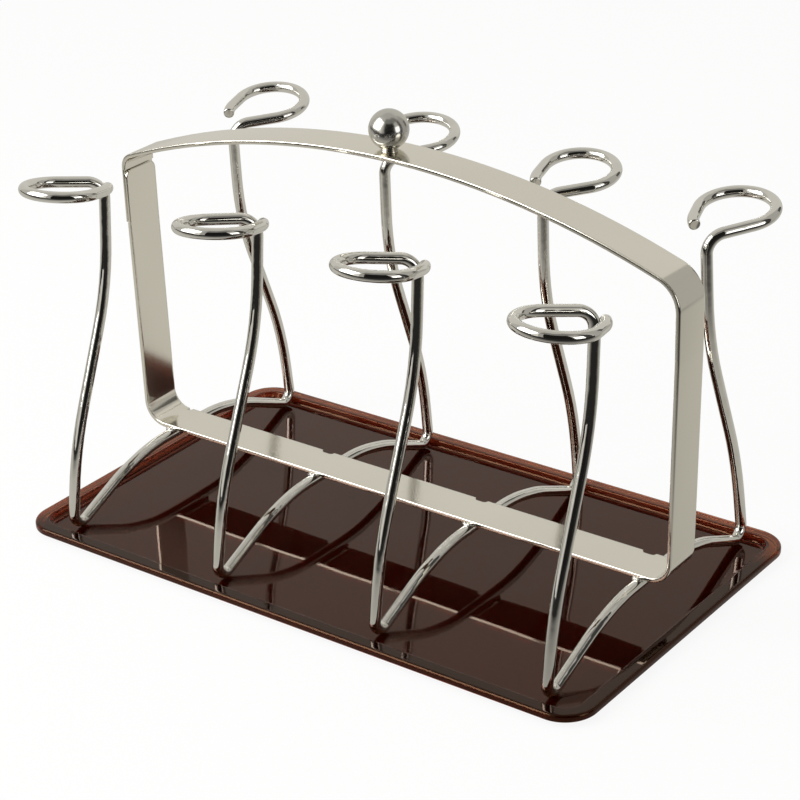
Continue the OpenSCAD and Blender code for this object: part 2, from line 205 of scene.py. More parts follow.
class Finishes(bpy.types.PropertyGroup):
    """Colours of the metal and the plastic"""
    bright: rgb("Bright plating", "Colour of the plated wires and ball", (0.80, 0.785, 0.74))
    satin: rgb("Satin strip", "Colour of the flat strip", (0.87, 0.84, 0.75))
    weld: rgb("Weld", "Colour of the weld beads", (0.62, 0.60, 0.55))
    plastic: rgb(
        "Tray floor", "Colour of the tray where it is thick or lies flat", (0.125, 0.016, 0.006))
    plastic_wall: rgb("Tray wall", "Colour of the tray's sloping wall", (0.12, 0.010, 0.005))
    # Painted light: this colour goes only on the rim's left and back, as if lit from behind there
    plastic_rim: rgb(
        "Tray rim", "Colour of the tray's rim, where light comes through", (0.42, 0.13, 0.045))
    plastic_gloss: rgb("Tray gloss", "Tint of the plastic's reflections", (1.0, 0.52, 0.28))


class StageSettings(bpy.types.PropertyGroup):
    """Camera and light"""
    azimuth: degrees("Azimuth", "Camera's turn to the right of the front", 38.06)
    elevation: degrees("Elevation", "Camera's height above level", 26.09)
    roll: degrees("Roll", "Camera's turn about its own axis", -2.38)
    distance: FloatProperty(
        name="Distance", description="From the aim point to the camera",
        default=1.031, unit="LENGTH")
    aim: FloatVectorProperty(
        name="Aim", description="Point that the camera's axis passes through",
        size=3, subtype="XYZ", unit="LENGTH", default=(0.0006, -0.0184, 0.0702))
    lens: FloatProperty(
        name="Lens", description="Focal length in millimetres on a 36 mm sensor",
        default=107.58)
    shift: FloatVectorProperty(
        name="Shift", description="Camera's shift across and up", size=2,
        default=(0.0359, 0.0193))
    studio: rgb(
        "Studio", "Colour of the pale surroundings that the metal shows", (0.52, 0.507, 0.472))
    table: rgb("Table", "Colour of the pale table that the metal shows", (0.57, 0.555, 0.51))
    unlit: rgb(
        "Unlit table", "Colour of the table's dark side, towards the camera", (0.022, 0.021, 0.02))


class RackSettings(bpy.types.PropertyGroup):
    """All the settings of the rack"""
    strip: PointerProperty(type=StripSizes, name="Strip", description="Strip frame")
    wire: PointerProperty(type=WireSizes, name="Wire", description="Bent wires")
    hook: PointerProperty(type=HookSizes, name="Hook", description="Hooks")
    knob: PointerProperty(type=KnobSizes, name="Knob", description="Ball knob")
    weld: PointerProperty(type=WeldSizes, name="Weld", description="Weld beads")
    tray: PointerProperty(type=TraySizes, name="Tray", description="Drip tray")
    finish: PointerProperty(type=Finishes, name="Finish", description="Colours")
    stage: PointerProperty(type=StageSettings, name="Stage", description="Camera and light")


# ------------------------------------------------- surfaces

# A smaller turn than this, in radians, is no bend, and rings nearer than this
# many decimals of a metre are one
LEAST_TURN = 1e-6
RING_DECIMALS = 8


def unit(v):
    """The vector scaled to length one."""
    return v / np.linalg.norm(v)


class BentRun:
    """A line of straights and circular bends through a list of corner points.

    Where the heading turns by b with radius r, the line leaves its straight
    r tan(b / 2) short of the corner and follows the circle
    p(a) = start + r (1 - cos a) inward + r sin a heading, for a from 0 to b.
    A side direction is carried along without a twist.
    """

    def __init__(self, corners, radii, side):
        corners = np.asarray(corners, float)
        headings = [unit(b - a) for a, b in zip(corners, corners[1:])]
        side = unit(side - (side @ headings[0]) * headings[0])
        parts, length, here = [], 0.0, corners[0]
        for i, heading in enumerate(headings):
            last = i == len(headings) - 1
            turn = 0.0 if last else math.acos(min(1.0, float(heading @ headings[i + 1])))
            trim = 0.0 if last else radii[i + 1] * math.tan(turn / 2)
            end = corners[i + 1] - trim * heading
            parts.append((length, here, heading, np.zeros(3), 1.0, side, 0.0))
            length += float(np.linalg.norm(end - here))
            here = end
            if turn > LEAST_TURN:
                inward = unit(headings[i + 1] - (headings[i + 1] @ heading) * heading)
                parts.append((length, here, heading, inward, radii[i + 1], side, 1.0))
                length += radii[i + 1] * turn
                here = corners[i + 1] + trim * headings[i + 1]
                side = turned(side[None], np.cross(heading, inward)[None], np.array([turn]))[0]
        self.length = length
        self.starts, self.points, self.dirs, self.inwards, self.bends, self.sides, self.curved = (
            np.array(column) for column in zip(*parts))

    def at(self, s):
        """Points, headings and side directions at the distances s along the line."""
        i = np.clip(np.searchsorted(self.starts, s, side="right") - 1, 0, len(self.starts) - 1)
        u, r, bent = s - self.starts[i], self.bends[i], self.curved[i]
        a = bent * u / r
        along = np.where(bent > 0, r * np.sin(a), u)[:, None]
        across = (bent * r * (1 - np.cos(a)))[:, None]
        point = self.points[i] + along * self.dirs[i] + across * self.inwards[i]
        heading = np.cos(a)[:, None] * self.dirs[i] + np.sin(a)[:, None] * self.inwards[i]
        return point, heading, turned(self.sides[i], np.cross(self.dirs[i], self.inwards[i]), a)

    def stations(self, step):
        """Distances of rings: both ends of each straight, and every step round a bend."""
        ends = np.append(self.starts[1:], self.length)
        count = np.ceil(self.curved * (ends - self.starts) / self.bends / step).astype(int) + 1
        return distinct([np.linspace(a, b, n + 1) for a, b, n in zip(self.starts, ends, count)])


def distinct(runs):
    """The distances in all the runs, sorted, each once."""
    return np.unique(np.round(np.concatenate(runs), RING_DECIMALS))


def turned(v, axis, angle):
    """Rows of v turned by angle about axis.

    v' = v cos a + (axis x v) sin a + axis (axis . v) (1 - cos a)
    """
    c, s = np.cos(angle)[:, None], np.sin(angle)[:, None]
    along = (v * axis).sum(1, keepdims=True)
    return v * c + np.cross(axis, v) * s + axis * along * (1 - c)


def placed(name, data):
    """A new object in the scene that holds the mesh, lamp or camera."""
    made = bpy.data.objects.new(name, data)
    bpy.context.scene.collection.objects.link(made)
    return made


def add_piece(
        name, body, material, grid, ends=(None, None), flip=False, tone=None, sharp=35):
    """A closed piece from a grid[ring, place, xyz] of closed rings, ridden on its body.

    Each end is closed by a fan to its point in ends, or by one flat face where
    that is None.  With flip the faces of the ends look inwards.  The piece is
    smooth but for edges sharper than an angle in degrees.  The tone of its points
    can steer its material.
    """
    rings, places = grid.shape[:2]
    points, j = [grid.reshape(-1, 3)], np.arange(places)
    here = places * np.arange(rings - 1)[:, None]
    after, beside = here + places, (j + 1) % places
    quads = np.stack([here + j, after + j, after + beside, here + beside], axis=-1)
    faces = quads.reshape(-1, 4).tolist()
    for ring, centre in zip((j, rings * places - 1 - j), ends):
        ring = ring[::-1] if flip else ring
        if centre is None:
            faces.append(ring.tolist())
        else:
            middle = np.full(places, rings * places + len(points) - 1)
            points.append(np.asarray(centre, float)[None])
            faces += np.stack([ring, np.roll(ring, -1), middle], axis=1).tolist()
    mesh = bpy.data.meshes.new(name)
    mesh.from_pydata(np.concatenate(points), [], faces)
    if tone is not None:
        values = mesh.attributes.new("tone", "FLOAT", "POINT").data
        values.foreach_set("value", tone.ravel().astype(np.float32))
    mesh.shade_smooth()
    mesh.set_sharp_from_angle(angle=math.radians(sharp))
    mesh.materials.append(material)
    if mesh.validate():
        raise RuntimeError(f"{name} has faulty faces")
    made = placed(name, mesh)
    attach(made, body)
    return made


# --------------------------------------------------- places

def settings():
    """All the settings, where the operators read them."""
    return bpy.context.scene.mug_rack


def middle_of(node):
    """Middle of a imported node's box across the ground, with the box's lowest and highest z."""
    low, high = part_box(node)
    return (low.x + high.x) / 2, (low.y + high.y) / 2, low.z, high.z


def rack_place():
    """Point midway between the feet, from where the strip frame lies."""
    x, y, low, _ = middle_of("frame_strip")
    return np.array([x, y, low - settings().strip.bar_under])


def wire_place(index):
    """Point midway between one wire's feet."""
    shift = (index - (len(WIRE_SETS) - 1) / 2) * settings().wire.pitch
    return rack_place() + np.array([shift, 0, 0])


# ---------------------------------------------------- wires

# Equal bends that make up a hook's loop, and rings that round a cut end
LOOP_BENDS = 3
END_RINGS = 5


def foot_corner(w):
    """Corner of the two straights that touch a foot's circle, as (out, up).

    The circle's lowest point touches the tray.  Each straight's slope is that of
    the line to the circle's middle, less asin(r / distance).
    """
    middle = np.array([w.foot_reach, w.diameter / 2 + w.foot_r])
    to_middle = middle - np.array([w.knee_reach, w.knee_z])
    from_middle = middle - np.array([w.shin_reach, w.shin_z])
    down = math.atan2(to_middle[1], to_middle[0]) - math.asin(w.foot_r / math.hypot(*to_middle))
    rise = math.pi + math.asin(w.foot_r / math.hypot(*from_middle))
    up = math.atan2(from_middle[1], from_middle[0]) + rise
    out = (up + down) / 2 - math.pi / 2
    return middle + w.foot_r / math.cos((up - down) / 2) * on_circle(out)


def on_circle(a):
    """Point at the angle a on the circle of radius one."""
    return np.array([math.cos(a), math.sin(a)])


def loop_corners(w, h):
    """Corners of the hook in its own plane, from the top of the post to the tip.

    The loop is a circle bent as LOOP_BENDS equal bends.  It starts where the line
    from the post touches the circle, and the tail leaves along the circle.
    """
    neck = np.array([-h.loop_side, h.loop_reach - w.neck_reach])
    start = math.atan2(neck[1], neck[0]) + math.acos(h.loop_r / math.hypot(*neck))
    bend = h.turn / LOOP_BENDS
    middles = start + (np.arange(LOOP_BENDS) + 0.5) * bend
    bends = h.loop_r / math.cos(bend / 2) * np.stack([np.cos(middles), np.sin(middles)], axis=1)
    finish, tip_way = start + h.turn, start + h.turn + h.tip_turn
    tail = h.loop_r * on_circle(finish) + h.tail_run * on_circle(finish + math.pi / 2)
    tip = tail + h.tip_run * on_circle(tip_way + math.pi / 2)
    flat = np.vstack([neck, bends, tail, tip])
    return np.column_stack([flat, np.zeros(len(flat))])


def tilt(v, pitch, roll, swivel=0.0):
    """Rows of v turned about X by pitch, then about Y by roll, then about Z by swivel."""
    level = Matrix.Rotation(swivel, 3, "Z")
    return v @ np.array(level @ Matrix.Rotation(roll, 3, "Y") @ Matrix.Rotation(pitch, 3, "X")).T


def half_wire(index, half):
    """Corner points of half a wire, laid out as a front half, and its bend radii.

    They run from under the bar to the tip of the hook.
    """
    s = settings()
    w, h = s.wire, s.hook
    lean_x, lean_y, pitch, roll, swivel = WIRE_SETS[index][half]
    lean = MM * np.array([lean_x, lean_y, 0])
    crest = s.strip.bar_under - w.diameter / 2
    foot = foot_corner(w)
    hook = tilt(loop_corners(w, h), -h.slope, -h.roll)
    hook = tilt(hook - hook[0], *np.radians([pitch, roll, swivel])) + hook[0]
    hook += np.array([h.loop_side, -h.loop_reach, h.loop_z]) + lean
    base = np.array([
        [0, 0, crest], [0, -w.crest_half, crest], [0, -w.knee_reach, w.knee_z],
        [0, -foot[0], foot[1]]])
    post = np.array([[w.shin_side, -w.shin_reach, w.shin_z], [0, -w.waist_reach, w.waist_z]])
    post += lean * post[:, 2:] / h.loop_z
    radii = [0, w.crest_r, w.crest_r, w.foot_r, w.post_r, w.post_r, w.neck_r]
    return np.vstack([base, post, hook]), radii + [h.loop_r] * (LOOP_BENDS + 1) + [0]


def whole_wire(index):
    """The line of a whole wire, from the tip of its back hook to that of its front hook."""
    front, radii = half_wire(index, FRONT)
    back, _ = half_wire(index, BACK)
    back = back * np.array([-1, -1, 1])
    corners = np.vstack([back[:0:-1], front[1:]]) + wire_place(index)
    return BentRun(corners, radii[:0:-1] + radii[1:], np.array([1.0, 0, 0]))


def build_wire(index, material):
    """Round rod carried along the wire: p = c(s) + r(s) (cos t side + sin t across).

    Past each end the radius shrinks along a quarter circle, which rounds the cut edge.
    """
    s = settings()
    run, rounding = whole_wire(index), s.hook.end_break
    quarter = np.linspace(0, math.pi / 2, END_RINGS + 1)[1:]
    main = run.stations(s.wire.step)
    distance = np.concatenate([
        -rounding * np.sin(quarter[::-1]), main, run.length + rounding * np.sin(quarter)])
    shrink = np.concatenate([
        1 - np.cos(quarter[::-1]), np.zeros(len(main)), 1 - np.cos(quarter)]) * rounding
    point, heading, side = run.at(distance)
    across = np.cross(heading, side)
    t = np.linspace(0, 2 * math.pi, s.wire.sides, endpoint=False)[None, :, None]
    radius = (s.wire.diameter / 2 - shrink)[:, None, None]
    grid = point[:, None] + radius * (np.cos(t) * side[:, None] + np.sin(t) * across[:, None])
    name, ends = f"wire_{index + 1}", (point[0], point[-1])
    made = add_piece(name, "rack", material, grid[:, ::-1], ends, flip=True)
    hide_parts(f"hook_wire_{index + 1}")


# ---------------------------------------------------- strip

# Points of the strip's section, one row for each rounded corner: its side, whether it
# is on the face that looks out of the frame, then each point's angle on the corner's
# circle in degrees and how far it is set in along the face in millimetres.
STRIP_SECTION = (
    (BACK, 1, ((0, 0), (30, 0), (60, 0), (90, 0), (90, 0.6))),
    (FRONT, 1, ((90, 0.6), (120, 0), (150, 0), (180, 0))),
    (FRONT, 0, ((180, 0), (210, 0), (240, 0), (270, 0), (270, 0.6))),
    (BACK, 0, ((270, 0.6), (300, 0), (330, 0), (360, 0))),
)

# Turn between rings round a bend, rings along a notch and round a tongue's corner,
# length of a step in thickness, and the share of the edge radius that rounds an end
STRIP_TURN = math.radians(1.2)
NOTCH_RINGS, TONGUE_RINGS = 36, 12
STEP_RUN = MM / 50
END_SHARE = 0.8

# Largest share of a thickness that one edge's radius takes up, how near to level the
# bar is (its heading along X), and the bend that it starts after, counted from nought
MOST_EDGE = 0.45
LEVEL = 0.999
BAR_BEND = 4


def strip_line():
    """The strip's middle line, clockwise from the outer tongue's foot to the inner one's end.

    The arch's radius leaves 1 mm straight between it and the shoulders:
    R tan(slope) = half span / cos(slope) - shoulder's tangent - 1 mm.
    """
    s = settings().strip
    upright = (s.span - s.thickness) / 2
    lower, base = upright - s.lap_step, upright - s.lean
    bar = s.bar_under + s.thickness / 2
    apex = s.shoulder_z + upright * math.tan(s.arch_slope)
    tangent = s.shoulder_r * math.tan((math.pi / 2 - s.arch_slope) / 2)
    arch_r = (upright / math.cos(s.arch_slope) - tangent - MM) / math.tan(s.arch_slope)
    bends = [
        (-upright, s.kink_z + s.lap_gap, 0), (-upright, s.shoulder_z, s.lap_shoulder_r),
        (0, apex, arch_r), (upright, s.shoulder_z, s.shoulder_r), (upright, s.kink_z, s.kink_r),
        (base, bar, s.bottom_r), (-base, bar, s.bottom_r), (-lower, s.kink_z - MM, s.kink_r),
        (-lower, s.kink_z + s.lap_len, 0)]
    corners = np.array([[x, 0, z] for x, z, _ in bends]) + rack_place()
    return BentRun(corners, [r for _, _, r in bends], np.array([0, 1.0, 0]))


def notch_ends(index):
    """Places along the bar where one notch's flat middle starts and stops."""
    s, w = settings().strip, settings().wire
    right = wire_place(index)[0] - w.diameter / 2 - s.notch_depth
    return right - s.notch_len + 2 * s.notch_depth, right


def notch_cut(x):
    """Depth of the notches in the bar's back edge at places x along it.

    Each is a slot with round ends: depth = sqrt(r^2 - d^2), where d is how far x
    lies past the slot's flat middle and r is the slot's depth.
    """
    r = settings().strip.notch_depth
    depth = np.zeros(len(x))
    for left, right in map(notch_ends, range(len(WIRE_SETS))):
        past = np.maximum(np.maximum(left - x, x - right), 0)
        depth = np.maximum(depth, np.sqrt(np.maximum(r * r - past * past, 0)))
    return depth


def strip_rings(run, bar_start, upper, lower):
    """Distances of the strip's rings along its line.

    Besides the bends there are rings at the notches, round the inner tongue's
    corners, at both ends, and on both sides of the two steps in thickness.
    """
    s, w = settings().strip, settings().wire
    bar_x = run.at(np.array([bar_start]))[0][0, 0]
    margin, quarter = 0.2 * MM, math.pi / 2
    from_wire = np.linspace(-margin, s.notch_len + margin, NOTCH_RINGS)
    notches = [
        bar_start + bar_x - (wire_place(index)[0] - w.diameter / 2 - from_wire)
        for index in range(len(WIRE_SETS))]
    tongue = run.length - s.lap_corner_r * (1 - np.cos(np.linspace(0, quarter, TONGUE_RINGS)))
    end = s.edge_r * END_SHARE * np.sin(np.linspace(0, quarter, END_RINGS))
    rings = distinct([
        run.stations(STRIP_TURN), *notches, tongue, s.edge_r - end, run.length - s.edge_r + end,
        [upper - STEP_RUN, upper, lower, lower + STEP_RUN]])
    cut, near = s.edge_r * (1 - END_SHARE), 1e-9
    return rings[(rings >= cut - near) & (rings <= run.length - cut + near)]


def build_strip(material):
    """Rounded flat section carried round the frame.

    The section is a rectangle with quarter-round edges:
    (across, out) = edge's middle + e (cos t, sin t).  Its back edge follows the
    notches, its thickness drops to a tongue at each end, and both ends are
    rounded off along a quarter circle.
    """
    s = settings().strip
    run = strip_line()
    half, e, corner = s.thickness / 2, s.edge_r, s.lap_corner_r
    upper, lower = s.lap_len, run.length - s.lap_len
    bar_start = run.starts[np.where(run.curved > 0)[0][BAR_BEND] + 1]
    rings = strip_rings(run, bar_start, upper, lower)
    point, heading, _ = run.at(rings)
    out = np.column_stack([-heading[:, 2], np.zeros(len(heading)), heading[:, 0]])

    inner_face = half + s.lap_step - s.lap_outer_t - s.lap_gap
    low = np.where(rings < upper - STEP_RUN / 2, half - s.lap_outer_t, -half)
    high = np.where(rings > lower + STEP_RUN / 2, inner_face, half)
    on_bar = (rings > bar_start) & (np.abs(heading[:, 0]) > LEVEL)
    notch = np.where(on_bar, notch_cut(point[:, 0]), 0)
    from_end = np.clip(run.length - rings, 0, corner)
    taper = corner - np.sqrt(corner ** 2 - (corner - from_end) ** 2)
    to_end = np.minimum(rings, run.length - rings)
    soft = e - np.sqrt(np.maximum(e * e - np.clip(e - to_end, 0, e) ** 2, 0))
    soft = np.minimum(soft, (high - low) / 4)
    front = -s.width / 2 + taper + soft
    back = s.width / 2 - notch - taper - soft
    low, high = low + soft, high - soft
    grow = np.minimum(e, (high - low) * MOST_EDGE)[:, None]

    at_back, at_high, angle, inset = np.array(
        [(side, face, *point) for side, face, points in STRIP_SECTION for point in points], float).T
    t, way = np.radians(angle), np.where(at_back, -1, 1)
    across = np.where(at_back, back[:, None] - grow, front[:, None] + grow) + grow * np.cos(t)
    across += way * inset * MM
    thick = np.where(at_high, high[:, None] - grow, low[:, None] + grow) + grow * np.sin(t)
    grid = point[:, None] + across[..., None] * np.array([0, 1.0, 0])
    grid += thick[..., None] * out[:, None]
    made = add_piece("strip_frame", "rack", material, grid[:, ::-1], sharp=50)
    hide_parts("frame_strip")


# ------------------------------------------- knob and welds

# Points round the ball, and rings down it and its fillet; points round a weld bead
# and rings down it.  The first ring lies an angle in radians off the top.
BALL_PLACES, BALL_RINGS, FILLET_RINGS = 96, 64, 7
BALL_START = 0.02
BEAD_PLACES, BEAD_RINGS = 32, 20
BEAD_START = 0.06


def build_ball(material):
    """Ball turned with its foot: p = (x + r cos t, y + r sin t, z) for a profile (r, z).

    The profile is a circle down to the foot's width, a fillet
    (1 - b)^2 start + 2 b (1 - b) corner + b^2 end, and the foot's broken edge.
    """
    s = settings().knob
    x, y, low, high = middle_of("knob_ball")
    r, foot, spread = s.ball_d / 2, s.foot_d / 2, 0.21 * MM
    straight, broken = 0.25 * MM, 0.2 * MM
    a = np.linspace(BALL_START, math.pi - math.asin((foot + spread) / r), BALL_RINGS)
    globe = np.column_stack([r * np.sin(a), high - r + r * np.cos(a)])
    b = np.linspace(0, 1, FILLET_RINGS + 1)[1:, None]
    corner, bottom = np.array([foot, globe[-1, 1]]), np.array([foot, low + straight])
    fillet = globe[-1] * (1 - b) ** 2 + 2 * b * (1 - b) * corner + bottom * b ** 2
    profile = np.vstack([globe, fillet, [[foot - broken, low]]])
    t = np.linspace(0, 2 * math.pi, BALL_PLACES, endpoint=False)
    ring = np.stack([np.cos(t), np.sin(t), np.zeros(BALL_PLACES)], axis=1)
    grid = np.array([x, y, 0]) + profile[:, :1, None] * ring
    grid += profile[:, 1:, None] * np.array([0, 0, 1.0])
    ends = ([x, y, high], None)
    made = add_piece("ball", "rack", material, grid, ends, flip=True)
    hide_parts("knob_ball")


def build_weld(index, side, material):
    """Lumpy bead: p = edge + r (a sin v cos u, b sin v sin u, c cos v), stretched by a, b, c.

    r = bead + lump (sin(3u + phase) sin 2v + sin(5u + 2 phase) sin 3v) / 2
    """
    s = settings()
    where, way, start = ("front", 1, 0.7) if side == FRONT else ("back", -1, 2.9)
    phase = 1.3 * index + start
    u = np.linspace(0, 2 * math.pi, BEAD_PLACES, endpoint=False)[None, :]
    v = np.linspace(BEAD_START, math.pi - BEAD_START, BEAD_RINGS)[:, None]
    lumps = (np.sin(3 * u + phase) * np.sin(2 * v) + np.sin(5 * u + 2 * phase) * np.sin(3 * v)) / 2
    r = s.weld.bead_r + s.weld.lump * lumps
    level = np.cos(v) * np.ones_like(u)
    ball = np.stack([np.sin(v) * np.cos(u), np.sin(v) * np.sin(u), level], axis=-1)
    stretch = np.array([1.25, 0.8, 0.7])
    aside, sunk, below = 0.5 * MM, 0.35 * MM, 0.5 * MM
    edge = np.array([-way * aside, -way * (s.strip.width / 2 - sunk), s.strip.bar_under - below])
    grid = r[..., None] * stretch * ball + (wire_place(index) + edge)
    name, ends = f"weld_{where}_{index + 1}", (grid[0].mean(0), grid[-1].mean(0))
    made = add_piece(name, "rack", material, grid, ends, flip=True)
    if index == 0 and side == FRONT:
        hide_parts("wire_welds")


# ----------------------------------------------------- tray

# Points round one corner of the tray
CORNER_PLACES = 19


def arc_points(centre, r, start, stop, count=7):
    """Points centre + r (cos a, sin a) for a from start to stop, in degrees."""
    a = np.radians(np.linspace(start, stop, count))
    return np.array(centre) + r * np.column_stack([np.cos(a), np.sin(a)])


def rim_section(top):
    """Section of the tray from its floor out over the rim and back beneath.

    Gives the points as (out, up), where out is measured from the middle of a
    corner's radius, and how thin the plastic is there, from 0 to 1.
    """
    s = settings().tray
    edge = s.corner_r - s.flange_w
    foot = edge - s.wall_run
    slope = math.atan2(top - s.floor_t, s.wall_run)
    steep, inset = math.degrees(slope), math.tan(slope / 2)
    cove, e, drop = 2 * s.edge_r, s.edge_r, s.shell_t * inset
    lip_x, lip_z, tip_r = s.corner_r - s.shell_t, top - s.lip_h, 0.5 * MM
    under, inner, seam = top - s.shell_t, 0.1 * s.corner_r, 0.3 * MM
    off_edge, off_brow, off_cove = 0.4 * MM, 0.4 * MM, MM
    parts = [
        ([[inner, s.floor_t], [foot - cove * inset - off_cove, s.floor_t]], 0, 0),
        (arc_points([foot - cove * inset, s.floor_t + cove], cove, 270, 270 + steep), 0.1, 0.45),
        (arc_points([edge + e * inset, top - e], e, 90 + steep, 90), 0.45, 0.1),
        ([[edge + e * inset + off_edge, top], [s.corner_r - s.brow_r - off_brow, top]], 1, 1),
        (arc_points([s.corner_r - s.brow_r, top - s.brow_r], s.brow_r, 90, 0), 1, 0.5),
        (arc_points([s.corner_r - tip_r, lip_z + tip_r], tip_r, 0, -90, 4), 0.4, 0.4),
        (arc_points([lip_x + tip_r, lip_z + tip_r], tip_r, 270, 180, 4), 0.6, 1),
        ([[lip_x, under - seam], [lip_x - seam, under], [edge + drop, under]], 1, 1),
        ([[foot + drop + (s.floor_t - s.shell_t) / math.tan(slope), 0], [inner, 0]], 0.3, 0),
    ]
    section = np.vstack([np.asarray(points, float) for points, _, _ in parts])
    thin = np.concatenate([np.linspace(a, b, len(points)) for points, a, b in parts])
    return section, thin


def build_tray(material):
    """The rim's section carried round a rounded rectangle.

    p = corner's middle + out (cos t, sin t)
    """
    low, high = map(np.array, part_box("drip_tray"))
    section, thin = rim_section(high[2] - low[2])
    t = np.radians(np.arange(0, 360, 90)[:, None] + np.linspace(0, 90, CORNER_PLACES)).ravel()
    signs = np.array([[1, 1], [-1, 1], [-1, -1], [1, -1]])
    reach = (high - low)[:2] / 2 - settings().tray.corner_r
    middles = np.repeat(signs * reach, CORNER_PLACES, axis=0)
    flat = middles + section[:, :1, None] * np.column_stack([np.cos(t), np.sin(t)])
    up = np.broadcast_to(section[:, 1:, None], flat.shape[:2] + (1,))
    centre = np.append((low + high)[:2] / 2, low[2])
    grid, tone = np.concatenate([flat, up], axis=-1) + centre, np.repeat(thin, len(t))
    made = add_piece("tray", "tray", material, grid, tone=tone, sharp=60)
    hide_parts("drip_tray")


# ------------------------------------------------ materials

# Numbers of a mix node's colour sockets, which share their names with others
COLOUR_A, COLOUR_B, COLOUR_OUT = 6, 7, 2


def maths(operation, reflected=False):
    """A method that joins a value with another one, or with a number."""
    def method(self, other):
        values = {0: other, 1: self} if reflected else {0: self, 1: other}
        return self.shader.node("ShaderNodeMath", {"operation": operation}, values)[0]
    return method


class Value:
    """An output socket of a shader's node, with the usual operators."""

    def __init__(self, shader, link):
        self.shader, self.link = shader, link

    __add__ = __radd__ = maths("ADD")
    __mul__ = __rmul__ = maths("MULTIPLY")
    __sub__ = maths("SUBTRACT")
    __rsub__ = maths("SUBTRACT", reflected=True)
    at_most = maths("MINIMUM")
    at_least = maths("MAXIMUM")

    def ramp(self, low, high):
        """0 below low, 1 above high, and smooth between."""
        return self.shader.node(
            "ShaderNodeMapRange", {"interpolation_type": "SMOOTHSTEP"},
            {"Value": self, "From Min": low, "From Max": high})["Result"]


class Shader:
    """The node tree of one material or of the world."""

    def __init__(self, name, world=False):
        if world:
            self.owner = bpy.data.worlds.new(name)
            bpy.context.scene.world = self.owner
        else:
            self.owner = bpy.data.materials.new(name)
        self.owner.use_nodes = True
        self.tree = self.owner.node_tree
        self.tree.nodes.clear()
        kind = "ShaderNodeOutputWorld" if world else "ShaderNodeOutputMaterial"
        self.output = self.tree.nodes.new(kind)

    def node(self, kind, options=None, values=None):
        """Adds a node, sets its options and sockets, and returns its outputs by number and name."""
        made = self.tree.nodes.new(kind)
        for key, value in (options or {}).items():
            setattr(made, key, value)
        for key, value in (values or {}).items():
            self.put(made.inputs[key], value)
        return {
            key: Value(self, link) for number, link in enumerate(made.outputs)
            for key in (number, link.name)}

    def put(self, socket, value):
        """Links a value to a socket, or sets it there."""
        if isinstance(value, Value):
            self.tree.links.new(value.link, socket)
        else:
            socket.default_value = value

    def mix(self, factor, a, b):
        """Colour that goes from a to b with the factor."""
        return self.node("ShaderNodeMix", {"data_type": "RGBA"}, {
            0: factor, COLOUR_A: a, COLOUR_B: b})[COLOUR_OUT]

    def blend(self, factor, a, b):
        """Surface that goes from a to b with the factor."""
        return self.node("ShaderNodeMixShader", {}, {0: factor, 1: a, 2: b})[0]

    def glow(self, colour, strength=1.0):
        """Surface that shows one colour, whatever the light."""
        return self.node("ShaderNodeEmission", {}, {
            "Color": rgba(colour), "Strength": strength})[0]

    def place(self, stretch=(1, 1, 1)):
        """Object coordinates, stretched along the axes."""
        coords = self.node("ShaderNodeTexCoord")["Object"]
        return self.node("ShaderNodeMapping", {}, {"Vector": coords, "Scale": stretch})["Vector"]

    def noise(self, scale, detail, roughness=0.5, stretch=(1, 1, 1)):
        """Cloudy values from 0 to 1."""
        return self.node("ShaderNodeTexNoise", {}, {
            "Vector": self.place(stretch), "Scale": scale, "Detail": detail,
            "Roughness": roughness})["Fac"]

    def measure(self, operation, point):
        """Distance from a point, or dot product with it, in object coordinates."""
        return self.node("ShaderNodeVectorMath", {"operation": operation}, {
            0: self.place(), 1: point})["Value"]

    def bump(self, height, strength, depth):
        """Normals of a surface with that height, in metres times depth."""
        return self.node("ShaderNodeBump", {}, {
            "Height": height, "Strength": strength, "Distance": depth})["Normal"]

    def surface(self, **sockets):
        """The principled surface; names use _ for spaces."""
        values = {key.replace("_", " "): value for key, value in sockets.items()}
        return self.finish(self.node("ShaderNodeBsdfPrincipled", {}, values)["BSDF"])

    def finish(self, shader):
        """Joins a shader to the output."""
        self.put(self.output.inputs["Surface"], shader)
        return self.owner


def rgba(colour, scale=1.0):
    """A colour with its alpha."""
    return (colour[0] * scale, colour[1] * scale, colour[2] * scale, 1.0)


def bright_plating():
    """Plated round wire: a mirror with faint drawing marks and slow ripples left by bending."""
    s = Shader("bright_plating")
    colour = settings().finish.bright
    smear = s.noise(90.0, 3.0)
    ripple = s.noise(160.0, 1.0)
    return s.surface(
        Base_Color=s.mix(smear.ramp(0.35, 0.75), rgba(colour), rgba(colour, 0.93)),
        Metallic=1.0,
        Roughness=0.035 + 0.05 * smear,
        Normal=s.bump(ripple, 0.35, 0.0004))


def ball_plating():
    """Plated ball: softer than the wires, and painted a little darker than them as shade."""
    s = Shader("ball_plating")
    smear = s.noise(300.0, 3.0)
    return s.surface(
        # Painted shade: the wires' plating colour, darkened for the ball
        Base_Color=rgba(settings().finish.bright, 0.79), Metallic=1.0,
        Roughness=0.17 + 0.05 * smear)


def satin_strip():
    """Rolled strip: satin, with fine lines along it and slow waves in its flatness."""
    s = Shader("satin_strip")
    colour = settings().finish.satin
    cloud = s.noise(14.0, 2.0)
    lines = s.noise(1.0, 3.0, stretch=(60.0, 1800.0, 60.0))
    wave = s.noise(22.0, 1.0)
    return s.surface(
        Base_Color=s.mix(cloud.ramp(0.3, 0.7), rgba(colour), rgba(colour, 0.96)),
        Metallic=1.0,
        Roughness=0.09 + 0.05 * lines + 0.02 * cloud,
        Normal=s.bump(0.8 * wave + 0.012 * lines, 0.5, 0.0006))


